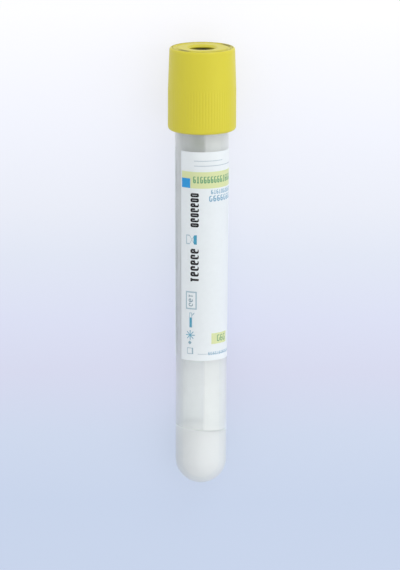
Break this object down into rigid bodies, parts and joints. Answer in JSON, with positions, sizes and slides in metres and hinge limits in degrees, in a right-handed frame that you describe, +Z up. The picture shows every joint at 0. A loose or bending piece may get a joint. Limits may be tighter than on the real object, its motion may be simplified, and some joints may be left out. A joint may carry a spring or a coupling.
{
  "type": "blood collection tube",
  "caption": "Lying clear round-bottomed plastic tube with a film label and pale gel in its end, shut by a dark rubber stopper in a ribbed yellow safety cap that pulls off along the tube.",
  "frame": {"origin": "centre of the footprint, on the surface that the tube lies on", "axes": "+Z up, +Y along the tube towards the cap (the tube's own axis rises 1.4 degrees towards the cap, as it lies), +X to the right seen from above"},
  "size_m": [0.0162, 0.107, 0.0165],
  "materials": {
    "clear_plastic": "clear, polished",
    "gel": "translucent, wet",
    "label_film": "smooth, slightly glossy, printed",
    "dark_rubber": "matt",
    "yellow_plastic": "semi-gloss, moulded"
  },
  "bodies": {
    "tube": {"tube": "clear_plastic", "separator_gel": "gel", "label": "label_film"},
    "closure": {"cap": "yellow_plastic", "rubber_stopper": "dark_rubber"}
  },
  "joints": [
    {"name": "closure_pull_off", "type": "slide", "parent": "tube", "child": "closure", "axis": [0, 0.9997, 0.0244], "range_m": [0, 0.03]}
  ]
}
